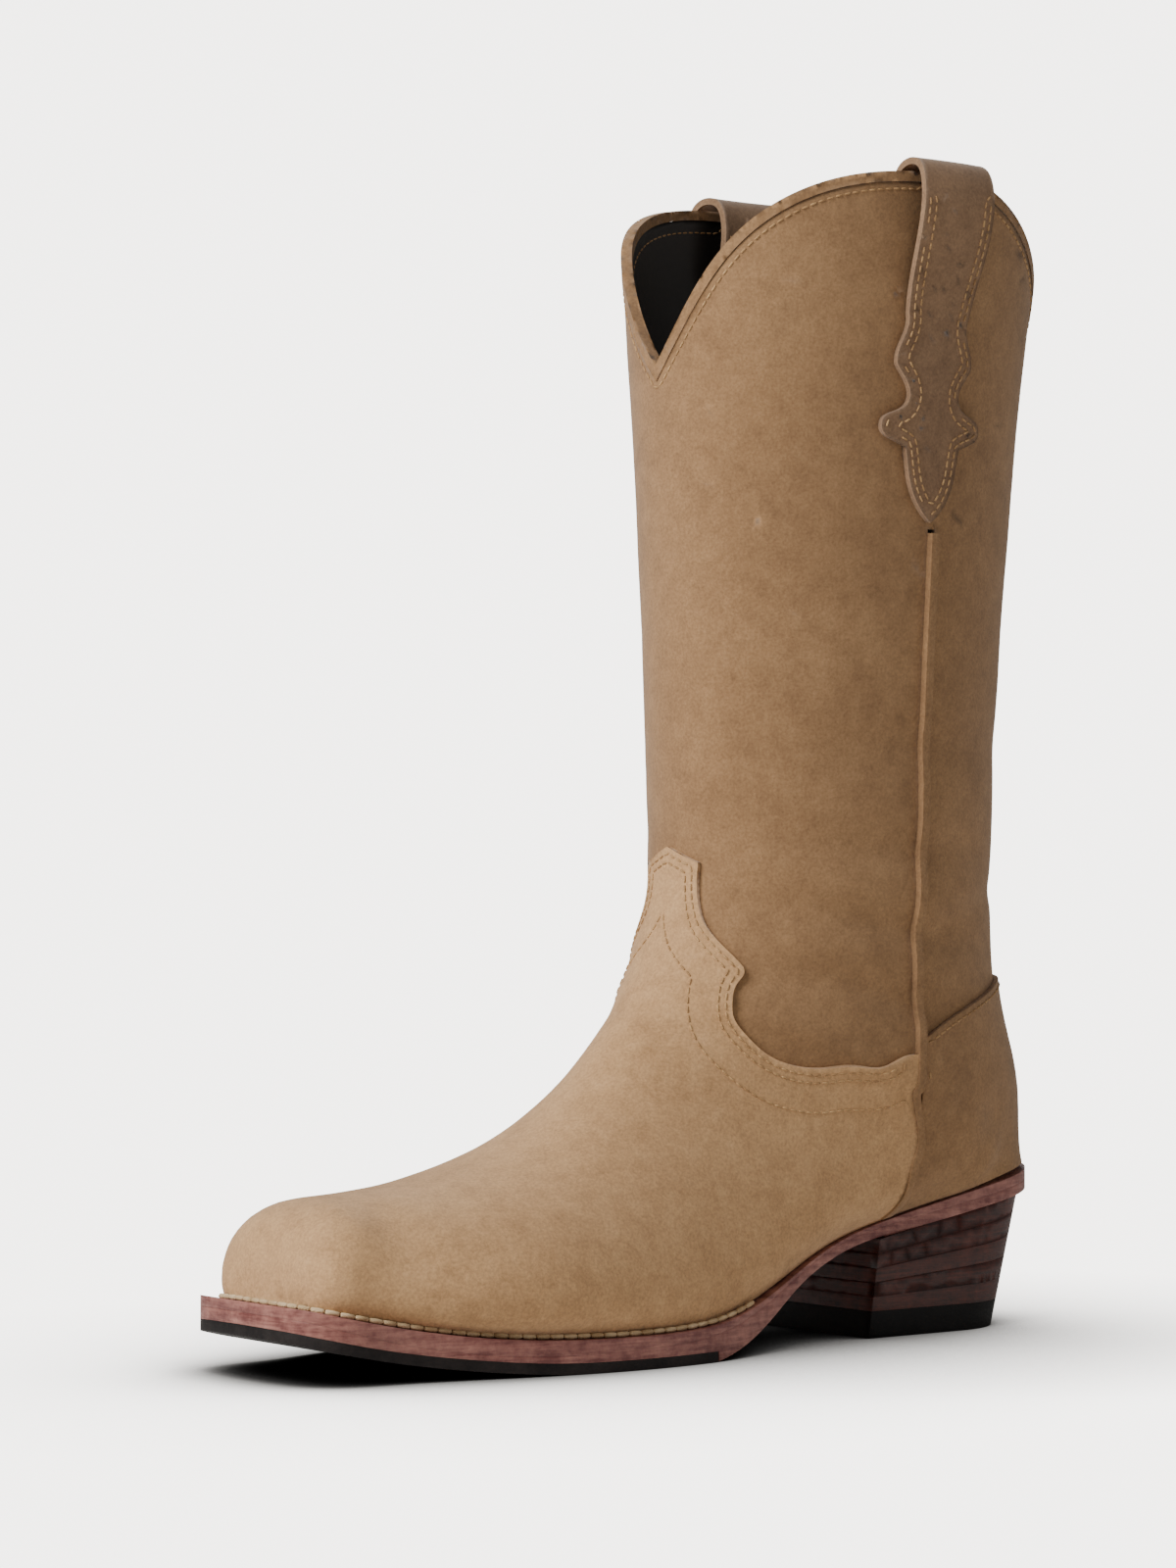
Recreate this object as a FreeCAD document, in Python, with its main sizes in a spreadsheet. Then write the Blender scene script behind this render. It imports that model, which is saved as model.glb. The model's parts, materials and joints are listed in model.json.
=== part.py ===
"""Western boot, left foot, as a parametric document of its separate leather, wood and metal pieces.

Millimetres.  The toe points along -X, the outer (lateral) side faces -Y, +Z is up and the boot
stands on Z = 0.  The upper is laid out on one smooth skin, the outside of the shaft leather: a
place on it is (station, girth).  Stations number the sections from the collar to the toe, and girth
runs from -1, the back seam or the feather line on the outer side, through 0 at the front, to +1.
Every layer of the upper is a patch of that skin between two levels, measured outwards from it.
"""
import FreeCAD, Part
import Sketcher
import math
import os

from FreeCAD import Placement, Rotation, Vector
from Part import Geom2d

doc = FreeCAD.newDocument("western_boot")

# ---------------------------------------------------------------- driving dimensions
DIMENSIONS = {
    "upper_leather": 1.6,
    "overlay_leather": 1.6,
    "lining_leather": 1.1,
    "glue_line": 0.05,
    "binding_depth": 3.2,
    "piping_width": 3.2,
    "piping_rise": 2.3,
    "strap_leather": 2.2,
    "strap_width": 27.0,
    "last_clearance": 1.65,
    "insole_thickness": 3.0,
    "sock_thickness": 1.2,
    "heel_pad_thickness": 2.5,
    "welt_thickness": 3.0,
    "tread_thickness": 3.2,
    "shank_width": 14.0,
    "shank_length": 92.0,
    "shank_thickness": 0.8,
    "heel_cap_thickness": 8.5,
    "cap_front": 65.0,
    "cap_back": 132.5,
    "cap_radius": 28.0,
    "breast_top": 69.5,
    "heel_back": 144.0,
    "heel_radius": 31.0,
    "nail_radius": 1.1,
    "peg_radius": 1.0,
    "thread_radius": 0.6,
    "sole_span": 120.0,
    "sole_depth": 90.0,
}

sheet = doc.addObject("Spreadsheet::Sheet", "dimensions")
for row, (alias, number) in enumerate(DIMENSIONS.items(), start=1):
    sheet.set(f"A{row}", alias.replace("_", " "))
    sheet.set(f"B{row}", str(number))
    sheet.setAlias(f"B{row}", alias)
doc.recompute()


def size(alias):
    return float(getattr(sheet, alias))


# ---------------------------------------------------------------- shape of the last
# Shaft and ankle: front x and z, back x and z, half widths to the outer and the inner side.
SHAFT_SECTIONS = (
    (-1.5, 366, 154, 366, 51.5, 51.5),
    (3.2, 295, 142.4, 295, 50.0, 50.0),
    (5.8, 235, 136.4, 235, 46.0, 46.0),
    (7.8, 185, 132.6, 185, 44.0, 44.0),
    (8.6, 150, 131.2, 150, 43.5, 43.0),
    (7.4, 135, 131.6, 121, 43.0, 42.0),
    (4.6, 126, 134.7, 102, 42.0, 41.0),
    (1.6, 119, 141.5, 82, 41.0, 40.0),
    (-0.8, 114.5, 143.5, 66, 40.5, 39.5),
)
# Foot: front x and z, then on the feather line x and the half widths to the outer and the inner
# side, then the widest half widths above it, then the angle the side has turned through at its foot.
FOOT_SECTIONS = (
    (-3.4, 110.5, 141.3, 0.0, 0.0, 40.0, 39.0, 88),
    (-5.2, 107.7, 139, 13.5, 13.5, 39.3, 38.3, 63),
    (-7, 105.0, 132.5, 23.7, 23.7, 38.2, 37.2, 40),
    (-8.9, 102.4, 123.5, 28.5, 28.5, 37.0, 36.0, 24),
    (-11.6, 99.6, 113, 29.6, 29.6, 36.0, 35.0, 16),
    (-15.6, 95.3, 95, 28.6, 28.4, 35.4, 34.2, 14),
    (-21.2, 89.3, 73, 26.4, 24.6, 35.6, 34.0, 17),
    (-28, 82.2, 49, 27.4, 23.5, 37.0, 35.4, 22),
    (-37, 74.2, 21, 34.0, 29.0, 40.3, 39.0, 28),
    (-48.5, 66.1, -7, 40.6, 36.2, 44.6, 43.6, 35),
    (-62, 59.6, -36, 43.2, 41.8, 48.0, 47.4, 40),
    (-77, 55.0, -64, 40.4, 43.4, 48.6, 49.0, 42),
    (-92, 52.2, -86, 35.4, 39.8, 44.8, 46.4, 42),
    (-106.5, 50.9, -104, 31.0, 34.6, 38.6, 41.2, 40),
    (-118, 50.0, -117.5, 28.4, 31.2, 33.4, 35.6, 36),
)
HEEL_CORNER = len(SHAFT_SECTIONS)
# The toe closes over its last stretch: depth from the tip as a share of TOE_DEPTH, and the share
# of the toe's height and of its width that each section keeps.
TOE_TIP = -138.0
TOE_DEPTH = 16.0
TOE_HEIGHT = 49.5
TOE_CLOSING = (
    (0.78, 0.975, 0.99),
    (0.46, 0.90, 0.955),
    (0.22, 0.77, 0.89),
    (0.08, 0.58, 0.81),
    (0.015, 0.33, 0.735),
    (0.0, 0.0, 0.69),
)
TOE_HALF_WIDTHS = (28.0, 30.6)
LAST_STATION = len(SHAFT_SECTIONS) + len(FOOT_SECTIONS) + len(TOE_CLOSING) - 1

# Height of the feather line, where the upper meets the welt, along X.
FEATHER = ((-149, 23.2), (-129, 18.4), (-104, 13.6), (-81, 10.9), (-49, 9.8), (-24, 10.1), (-4, 12.2),
           (11, 16.3), (26, 21.8), (41, 27.6), (56, 32.6), (71, 36.4), (96, 42.2), (121, 47.6), (145, 52.0))
# Thickness of the layer between the outsole and the upper: full welt, skived waist, heel rand.
SKIVE = ((-149, 1.0), (-19, 1.0), (11, 0.62), (36, 0.36), (61, 0.42), (86, 0.75), (111, 1.0), (145, 1.15))
# Height of the sole's underside behind the tread, up through the waist to the heel breast.
WAIST_UNDERSIDE = ((-11, 0.3), (1, 3.6), (11, 8.0), (19, 12.4), (29, 18.2), (41, 23.6), (55, 28.4), (71, 32.0))
# Height of the tread's underside, which rolls up to the toe.
TREAD_UNDERSIDE = ((-155, 14.6), (-139, 10.4), (-124, 7.1), (-109, 4.5), (-94, 2.5), (-79, 1.0), (-65, 0.2),
                   (-51, 0.0), (-29, 0.0), (-11, 0.0))
TREAD_END = -11.0

GIRTH_STEPS = 16


def through(points):
    """A smooth height over X that passes through the given points."""
    curve = Part.BSplineCurve()
    curve.interpolate(Points=[Vector(x, 0, z) for x, z in points], Parameters=[float(x) for x, _ in points])
    return lambda x: curve.value(min(max(x, points[0][0]), points[-1][0])).z


feather_height = through(FEATHER)
skive = through(SKIVE)
waist_underside = through(WAIST_UNDERSIDE)
tread_underside = through(TREAD_UNDERSIDE)


def half_section(front, back, widest, foot, turn, centre, squareness):
    """Points from the front line to the back or feather, as (x, z, half width), equally spaced."""
    length = math.hypot(back[0] - front[0], back[1] - front[1])
    upper = centre * length
    lower = length - upper
    turn = math.radians(turn)
    outline = []
    for step in range(41):
        angle = math.pi / 2 * step / 40
        reach = (abs(math.cos(angle) / upper) ** squareness + abs(math.sin(angle) / widest) ** squareness)
        radius = reach ** (-1 / squareness)
        outline.append((upper - radius * math.cos(angle), radius * math.sin(angle)))
    for step in range(1, 41):
        angle = turn * step / 40
        width = (math.cos(angle) - math.cos(turn)) / (1 - math.cos(turn))
        outline.append((upper + lower * math.sin(angle) / math.sin(turn), foot + (widest - foot) * width))
    lengths = [0.0]
    for (d0, y0), (d1, y1) in zip(outline, outline[1:]):
        lengths.append(lengths[-1] + math.hypot(d1 - d0, y1 - y0))
    points = []
    place = 0
    for step in range(GIRTH_STEPS + 1):
        wanted = lengths[-1] * step / GIRTH_STEPS
        while place < len(lengths) - 2 and lengths[place + 1] < wanted:
            place += 1
        share = (wanted - lengths[place]) / (lengths[place + 1] - lengths[place])
        down = outline[place][0] + share * (outline[place + 1][0] - outline[place][0])
        out = outline[place][1] + share * (outline[place + 1][1] - outline[place][1])
        points.append((front[0] + (back[0] - front[0]) * down / length,
                       front[1] + (back[1] - front[1]) * down / length, out))
    return points


def full_section(front, back, widest, foot, turn=90, centre=0.5, squareness=2.1):
    """A section's points from girth -1 on the outer side round the front to girth +1."""
    outer = half_section(front, back, widest[0], foot[0], turn, centre, squareness)
    inner = half_section(front, back, widest[1], foot[1], turn, centre, squareness)
    return ([Vector(x, -y, z) for x, z, y in reversed(outer)]
            + [Vector(x, y, z) for x, z, y in inner[1:]])


def skin_sections():
    rows = []
    for fx, fz, bx, bz, outer, inner in SHAFT_SECTIONS:
        rows.append(full_section((fx, fz), (bx, bz), (outer, inner), (0, 0)))
    for number, (fx, fz, x, outer, inner, wide_outer, wide_inner, turn) in enumerate(FOOT_SECTIONS):
        foot = (x, feather_height(x) + size("last_clearance"))
        centre = min(0.8, 0.5 + 0.05 * number)
        rows.append(full_section((fx, fz), foot, (wide_outer, wide_inner), (outer, inner), turn, centre))
    for depth, height, width in TOE_CLOSING:
        x = TOE_TIP + TOE_DEPTH * depth
        foot = feather_height(x) + size("last_clearance")
        top = foot + max(height, 0.002) * (TOE_HEIGHT - foot)
        feet = [half * width for half in TOE_HALF_WIDTHS]
        wide = [half + 3.0 * height for half in feet]
        rows.append(full_section((x, top), (x, foot), wide, feet, 32, 0.8, 2.6))
    return rows


def spline_surface(rows, row_places, column_places):
    """The smooth surface through a grid of points, with its parameters at the given places."""
    def control_points(points, places):
        curve = Part.BSplineCurve()
        curve.interpolate(Points=points, Parameters=places)
        return curve

    across = [control_points(row, column_places) for row in rows]
    along = [control_points(list(column), row_places) for column in zip(*(c.getPoles() for c in across))]
    surface = Part.BSplineSurface()
    surface.buildFromPolesMultsKnots(
        [list(row) for row in zip(*(c.getPoles() for c in along))],
        along[0].getMultiplicities(), across[0].getMultiplicities(),
        along[0].getKnots(), across[0].getKnots(), False, False, 3, 3)
    return surface


def run(points):
    """Length of the way along a row of points."""
    return sum((b - a).Length for a, b in zip(points, points[1:]))


class Skin:
    """A smooth surface of the boot with copies of itself at any level inside or outside it."""

    def __init__(self, rows, row_places, column_places, inside=Vector(51, 0, 60)):
        self.row_places = row_places
        self.column_places = column_places
        self.spans = (run([row[len(row) // 2] for row in rows]) / (row_places[-1] - row_places[0]),
                      run(rows[len(rows) // 2]) / (column_places[-1] - column_places[0]))
        self.surface = spline_surface(rows, row_places, column_places)
        self.copies = {}
        middle = self.at(0.5 * row_places[-1], column_places[0] * 0.4 + column_places[-1] * 0.6)
        self.outward = 1.0
        if self.surface.normal(*middle).dot(self.surface.value(*middle) - inside) < 0:
            self.outward = -1.0

    def at(self, row_place, column_place):
        return row_place, column_place

    def point(self, place, level=0.0):
        normal = self.surface.normal(*place)
        return self.surface.value(*place) + normal * (self.outward * level)

    def level(self, height):
        """The surface at a level, through offset points of the skin."""
        if height not in self.copies:
            rows = [[self.point((u, v), height) for v in self.column_places] for u in self.row_places]
            self.copies[height] = spline_surface(rows, self.row_places, self.column_places)
        return self.copies[height]



def cumulative(distances):
    places = [0.0]
    for distance in distances:
        places.append(places[-1] + distance)
    return places


def station_places(rows):
    """Mean distances between neighbouring sections, so that the skin's parameter keeps its pace."""
    steps = []
    for row, following in zip(rows, rows[1:]):
        steps.append(sum((b - a).Length for a, b in zip(row, following)) / len(row))
    return cumulative(steps)


SECTIONS = skin_sections()
STATIONS = station_places(SECTIONS)
GIRTHS = [column / GIRTH_STEPS for column in range(-GIRTH_STEPS, GIRTH_STEPS + 1)]
skin = Skin(SECTIONS, STATIONS, GIRTHS)


def place(station, girth):
    """The skin's parameters at a station, which may lie between two sections, and a girth."""
    whole = min(int(station), LAST_STATION - 1)
    return STATIONS[whole] + (station - whole) * (STATIONS[whole + 1] - STATIONS[whole]), girth

# ---------------------------------------------------------------- keeping and shaping pieces
PARTS = {}


def keep(name, piece):
    """Give a finished sub-part its name; its shape is written to parts/NAME.step."""
    piece.Label = name
    PARTS[name] = piece
    return piece


def feature(name, shape):
    piece = doc.addObject("Part::Feature", name)
    piece.Shape = shape
    piece.Placement = Placement(Vector(0, 0, 0), Rotation(0, 0, 0))
    return piece


def stretch(points, spans):
    """A straight or smooth line in a surface's own parameters, drawn in its true lengths."""
    if len(points) == 2:
        return Geom2d.Line2dSegment(*[FreeCAD.Base.Vector2d(u, v) for u, v in points])
    true = Part.BSplineCurve()
    true.interpolate([Vector(u * spans[0], v * spans[1], 0) for u, v in points])
    poles = [FreeCAD.Base.Vector2d(pole.x / spans[0], pole.y / spans[1]) for pole in true.getPoles()]
    line = Geom2d.BSplineCurve2d()
    line.buildFromPolesMultsKnots(poles, true.getMultiplicities(), true.getKnots(), False, true.Degree)
    return line


def patch(name, surface_skin, outline, inner, outer):
    """A leather piece: the outline, a closed chain of stretches, between two levels of a skin."""
    faces = []
    rims = []
    for height in (inner, outer):
        surface = surface_skin.level(height)
        rims.append([stretch(points, surface_skin.spans).toShape(surface) for points in outline])
        faces.append(Part.Face(Part.Wire(rims[-1])))
    walls = [Part.makeRuledSurface(low, high, 1) for low, high in zip(*rims)]
    shell = Part.makeShell(faces + walls)
    shell.sewShape()
    solid = Part.makeSolid(shell.Shells[0])
    if solid.Volume < 0:
        solid.reverse()
    return keep(name, feature(name, solid))


def both_sides(half):
    """A half outline, drawn from the middle line round the outer side, and its mirror image."""
    return half + [[(u, -v) for u, v in reversed(points)] for points in reversed(half)]


# ---------------------------------------------------------------- lines on the upper
# Half the way round each section, from the front line to the back or feather.
HALF_GIRTHS = [run(row[:GIRTH_STEPS + 1]) for row in SECTIONS]
# The side seam: its girth at each station, from the collar down to the feather line.
SIDE_SEAM = ((0, 0.52), (1, 0.52), (2, 0.521), (3, 0.522), (4, 0.522), (5.5, 0.52), (7, 0.52), (8, 0.523),
             (9, 0.537), (10, 0.57), (11, 0.62), (12, 0.68), (13, 0.75), (14, 0.845), (15, 1.0))
SEAM_FOOT = SIDE_SEAM[-1][0]
seam_girth = through(SIDE_SEAM)
# The collar dips to a point at the front and at the back. Front: girth and height from the middle
# of the front. Back: sweep, from 0 at the middle of the back to 1 at the side seam, and height.
TOPLINE_FRONT = ((0.0, 302.4), (0.046, 313.5), (0.096, 327.2), (0.16, 341.6), (0.24, 352.6),
                 (0.32, 358.6), (0.40, 361.4), (0.52, 362.2))
TOPLINE_BACK = ((0.0, 312.0), (0.16, 322.0), (0.31, 334.5), (0.485, 347.0), (0.66, 355.8),
                (0.81, 360.4), (1.0, 362.2))
SEAM_GAP = 0.05


def front_place(station, girth):
    return place(station, -girth)


def shaft_station(height):
    """Station of a height on the shaft."""
    number = 0
    while height < SHAFT_SECTIONS[number + 1][1]:
        number += 1
    upper, lower = SHAFT_SECTIONS[number][1], SHAFT_SECTIONS[number + 1][1]
    return number + (upper - height) / (upper - lower)


def lowered(line, depth, length):
    """A collar line moved down square to itself; length is that of one unit round the shaft."""
    moved = []
    for number, (across, height) in enumerate(line):
        (a0, h0), (a1, h1) = line[max(0, number - 1)], line[min(len(line) - 1, number + 1)]
        run, rise = (a1 - a0) * length, h1 - h0
        slope = math.hypot(run, rise)
        if number in (0, len(line) - 1):
            moved.append((across, height - depth * slope / run))
        else:
            moved.append((across + depth * rise / slope / length, height - depth * run / slope))
    return moved


def front_collar(depth):
    line = lowered(TOPLINE_FRONT, depth, HALF_GIRTHS[0])
    line[-1] = (seam_girth(0) - SEAM_GAP / HALF_GIRTHS[0], line[-1][1])
    return [front_place(shaft_station(height), girth) for girth, height in line]


def beside_seam(start, end, distance):
    """The side seam moved forward by a distance, between two stations."""
    count = max(2, int(2 * (end - start)))
    stations = [start + (end - start) * step / count for step in range(count + 1)]
    return [front_place(s, seam_girth(s) - distance / HALF_GIRTHS[round(s)]) for s in stations]


def to_feather(start, distance, foot=1.0):
    """The side seam moved forward or back by a distance, from a station down to the feather."""
    shift = distance / (STATIONS[SEAM_FOOT + 1] - STATIONS[SEAM_FOOT])
    return beside_seam(start, SEAM_FOOT - 0.3, distance) + [front_place(SEAM_FOOT + shift, foot)]


def feather_and_toe(start, end=LAST_STATION):
    """Along the feather line from a place near the side seam to the middle of the toe."""
    corner = front_place(end, 1.0)
    return [[start, corner], [corner, front_place(end, 0.0)]]


# ---------------------------------------------------------------- the upper, front of the side seams
lining_outer = -size("upper_leather") - size("glue_line")
lining_inner = lining_outer - size("lining_leather")
cover_inner = size("glue_line")
cover_outer = cover_inner + size("overlay_leather")
half_piping = 0.5 * size("piping_width")
PIPING_HEIGHT = 252.0
PIPING_START = shaft_station(PIPING_HEIGHT)
# The piping stops just above the feather line.
PIPING_FOOT = 0.986

# Lower edge of the shaft front under the vamp, as station and girth, and the toe box's rear edge.
FRONT_LAP = ((11.5, 0.0), (12.0, 0.12), (12.9, 0.24), (13.8, 0.36), (13.9, 0.49), (13.0, 0.55), (10.5, 0.575))
LAP_END = FRONT_LAP[-1][0]
TOE_BOX_REAR = 20.6
# The layers inside the vamp stop just short of the tip of the toe.
INNER_TOE = LAST_STATION - 0.5
LINING_JOINT = 9.0


def binding_front():
    top, bottom = front_collar(0.0), front_collar(size("binding_depth"))
    half = [top, [top[-1], bottom[-1]], bottom[::-1]]
    patch("topline_binding_front", skin, both_sides(half), lining_inner - 0.4, 0.4)


def shaft_front():
    top = front_collar(size("binding_depth") + SEAM_GAP)
    under_strap = beside_seam(0.15, PIPING_START, SEAM_GAP)
    beside_piping = beside_seam(PIPING_START, LAP_END, half_piping)
    lap = [front_place(*point) for point in FRONT_LAP[:-1]] + [beside_piping[-1]]
    half = [top, [top[-1]] + under_strap[1:], [under_strap[-1], beside_piping[0]], beside_piping, lap[::-1]]
    patch("shaft_front_panel", skin, both_sides(half), -size("upper_leather"), 0.0)


def lining_front():
    top = front_collar(size("binding_depth") + SEAM_GAP)
    side = [top[-1]] + beside_seam(0.15, LINING_JOINT, SEAM_GAP)[1:]
    half = [top, side, [side[-1], front_place(LINING_JOINT, 0.0)]]
    patch("shaft_lining_front", skin, both_sides(half), lining_inner, lining_outer)


def lining_vamp():
    side = to_feather(LINING_JOINT + 0.05, SEAM_GAP)
    half = [[front_place(LINING_JOINT + 0.05, 0.0), side[0]], side] + feather_and_toe(side[-1], INNER_TOE)
    patch("vamp_lining", skin, both_sides(half), lining_inner, lining_outer)


def vamp():
    """Toe, instep and a tongue up the shin, with a pointed ear each side below the tongue."""
    tongue = [front_place(3.88, 0.0), front_place(4.09, 0.074)]
    neck = [front_place(*p) for p in ((4.09, 0.074), (4.9, 0.077), (5.5, 0.094), (6.2, 0.134), (6.85, 0.170))]
    ear = [front_place(*p) for p in ((6.85, 0.170), (7.1, 0.172), (7.7, 0.164), (9.2, 0.170), (10.7, 0.214),
                                     (11.45, 0.256), (12.0, 0.316), (11.65, 0.382), (9.95, 0.430))]
    side = to_feather(8.05, half_piping)
    ear.append(side[0])
    half = [tongue, neck, ear, side] + feather_and_toe(side[-1])
    patch("vamp", skin, both_sides(half), cover_inner, cover_outer)


def vamp_interlining():
    """Fabric backer that fills the vamp between the shaft's lower edge and the toe box."""
    side = to_feather(LAP_END + 0.05, half_piping)
    lap = [front_place(s + 0.05, g) for s, g in FRONT_LAP[:-1]] + [side[0]]
    rear = TOE_BOX_REAR - 0.02
    half = [lap, side, [side[-1], front_place(rear, 1.0)], [front_place(rear, 1.0), front_place(rear, 0.0)]]
    patch("vamp_interlining", skin, both_sides(half), -size("upper_leather"), 0.0)


def toe_box():
    side = front_place(TOE_BOX_REAR, 1.0)
    half = [[front_place(TOE_BOX_REAR, 0.0), side]] + feather_and_toe(side, INNER_TOE)
    patch("toe_box", skin, both_sides(half), -size("upper_leather"), 0.0)


def side_piping(name, side):
    """A raised strip down one side seam, from the pull strap's point to the feather."""
    front, rear = [to_feather(PIPING_START + 0.02, distance, PIPING_FOOT)
                   for distance in (half_piping - SEAM_GAP, SEAM_GAP - half_piping)]
    outline = [front, [front[-1], rear[-1]], rear[::-1], [rear[0], front[0]]]
    outline = [[(u, v * side) for u, v in points] for points in outline]
    patch(name, skin, outline, -size("upper_leather"), size("piping_rise"))


binding_front()
shaft_front()
lining_front()
vamp()
vamp_interlining()
toe_box()
lining_vamp()
side_piping("side_piping_outer", 1)
side_piping("side_piping_inner", -1)

# ---------------------------------------------------------------- the upper, back of the side seams
# The back skin is the same surface laid out by depth, from 0 at the collar to 1 at the feather, and
# sweep, from -1 at the outer side seam through 0 at the middle of the back to +1 at the inner one.
SWEEPS = [step / 10 for step in range(-10, 11)]
DEPTHS = [0.7 * step / 10 for step in range(10)] + [0.7 + 0.3 * step / 9 for step in range(10)]
BACK_LENGTH = 92.0


def seam_line(side):
    """How far along X the side seam lies at each height, on the outer (-1) or the inner (1) side."""
    points = [skin.point(place(s, side * seam_girth(s))) for s in range(SEAM_FOOT, -1, -1)]
    return through([(point.z, point.x) for point in points])


seam_x = {side: seam_line(side) for side in (-1, 1)}


def crossing(rising, low, high):
    """Where a rising function passes zero."""
    for _ in range(22):
        middle = 0.5 * (low + high)
        if rising(middle) < 0:
            low = middle
        else:
            high = middle
    return 0.5 * (low + high)


def sweep_of(point):
    """How far a point has turned from the back, about the level line between the side seams."""
    middle = seam_x[-1 if point.y < 0 else 1](point.z)
    return math.atan2(point.y, point.x - middle) * 2 / math.pi


def walk_to(height, sweep, start):
    """The skin's parameters where a level ray from between the side seams meets it."""
    middle = seam_x[-1 if sweep < 0 else 1](height)
    turn = sweep * math.pi / 2
    u, v = start
    for _ in range(25):
        point = skin.surface.value(u, v)
        down, round_it = skin.surface.getDN(u, v, 1, 0), skin.surface.getDN(u, v, 0, 1)
        rise = height - point.z
        aside = point.y * math.cos(turn) - (point.x - middle) * math.sin(turn)
        down_aside = down.x * math.sin(turn) - down.y * math.cos(turn)
        round_aside = round_it.x * math.sin(turn) - round_it.y * math.cos(turn)
        scale = down.z * round_aside - round_it.z * down_aside
        step_u = (rise * round_aside - round_it.z * aside) / scale
        step_v = (down.z * aside - rise * down_aside) / scale
        u = max(0.0, u + max(-12.0, min(12.0, step_u)))
        v = max(-1.0, min(1.0, v + max(-0.05, min(0.05, step_v))))
    return u, v


# The feather line round the heel, from one side seam to the other.
heel_edge = Part.BSplineCurve()
heel_edge.interpolate([row[0] for row in SECTIONS[SEAM_FOOT + 1:HEEL_CORNER:-1]]
                      + [row[-1] for row in SECTIONS[HEEL_CORNER:SEAM_FOOT + 2]])


def heel_edge_point(sweep):
    along = crossing(lambda t: sweep_of(heel_edge.value(t)) - sweep,
                     heel_edge.FirstParameter, heel_edge.LastParameter)
    return heel_edge.value(along)


def back_column(sweep):
    """Points of the back skin down one sweep; low on the heel they curve to the feather line."""
    foot = heel_edge_point(sweep)
    spot = (2.0, (1 if sweep > 0 else -1) * (1 - 0.48 * abs(sweep)))
    points = []
    for depth in DEPTHS[:-1]:
        height = COLLAR_BRIM - depth * (COLLAR_BRIM - foot.z)
        spot = walk_to(max(height, HEEL_CURVE) if abs(sweep) < 0.45 else height, sweep, spot)
        point = skin.surface.value(*spot)
        share = max(0.0, (point.z - height) / (HEEL_CURVE - foot.z)) ** 2
        points.append(Vector(point.x + share * (foot.x - point.x), point.y + share * (foot.y - point.y), height))
    return points + [foot]


COLLAR_BRIM = SHAFT_SECTIONS[0][1] - 0.1
HEEL_CURVE = 70.0
back_rows = list(zip(*(back_column(sweep) for sweep in SWEEPS)))
back_skin = Skin(back_rows, DEPTHS, SWEEPS)
heel_height = through([(point_sweep, heel_edge_point(point_sweep).z) for point_sweep in SWEEPS])


def back_place(height, sweep):
    """Back skin parameters of a height on the outer side, at a sweep from the middle of the back."""
    return (COLLAR_BRIM - height) / (COLLAR_BRIM - heel_height(-sweep)), -sweep


def back_collar(depth):
    line = lowered(TOPLINE_BACK, depth, BACK_LENGTH)
    line[-1] = (1.0 - SEAM_GAP / BACK_LENGTH, line[-1][1])
    return [back_place(height, sweep) for sweep, height in line]


def behind_seam(height, distance):
    return back_place(height, 1.0 - distance / BACK_LENGTH)


def down_to_feather(top):
    """From a place straight down the back skin to the feather and along it to the middle."""
    foot = (1.0, top[1])
    middle = (0.5 * (top[0] + 1.0), top[1])
    return [[top, middle], [middle, foot], [foot, (1.0, 0.0)]]


# Upper edge of the heel counter and lower edge of the shaft back under it: sweep and height.
COUNTER_EDGE = ((0.0, 113.0), (0.2, 112.0), (0.45, 108.0), (0.65, 103.4), (0.82, 98.8), (1.0, 93.5))
LAP = 13.0


def counter_line(drop, distance):
    line = [back_place(height - drop, sweep) for sweep, height in COUNTER_EDGE[:-1]]
    return line + [behind_seam(COUNTER_EDGE[-1][1] - drop, distance)]


def binding_back():
    top, bottom = back_collar(0.0), back_collar(size("binding_depth"))
    half = [top, [top[-1], bottom[-1]], bottom[::-1]]
    patch("topline_binding_back", back_skin, both_sides(half), lining_inner - 0.4, 0.4)


def shaft_back():
    top = back_collar(size("binding_depth") + SEAM_GAP)
    lap = counter_line(LAP, half_piping)
    strap_side = [top[-1], behind_seam(PIPING_HEIGHT, SEAM_GAP)]
    step = [strap_side[-1], behind_seam(PIPING_HEIGHT, half_piping)]
    half = [top, strap_side, step, [step[-1], lap[-1]], lap[::-1]]
    patch("shaft_back_panel", back_skin, both_sides(half), -size("upper_leather"), 0.0)


def lining_back():
    top = back_collar(size("binding_depth") + SEAM_GAP)
    half = [top] + down_to_feather(top[-1])
    patch("shaft_lining_back", back_skin, both_sides(half), lining_inner, lining_outer)


def heel_counter():
    edge = counter_line(0.0, half_piping)
    patch("heel_counter_cover", back_skin, both_sides([edge] + down_to_feather(edge[-1])), cover_inner, cover_outer)


def heel_stiffener():
    edge = counter_line(LAP + SEAM_GAP, half_piping)
    patch("heel_stiffener", back_skin, both_sides([edge] + down_to_feather(edge[-1])),
          -size("upper_leather"), 0.0)


binding_back()
shaft_back()
lining_back()
heel_counter()
heel_stiffener()

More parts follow.
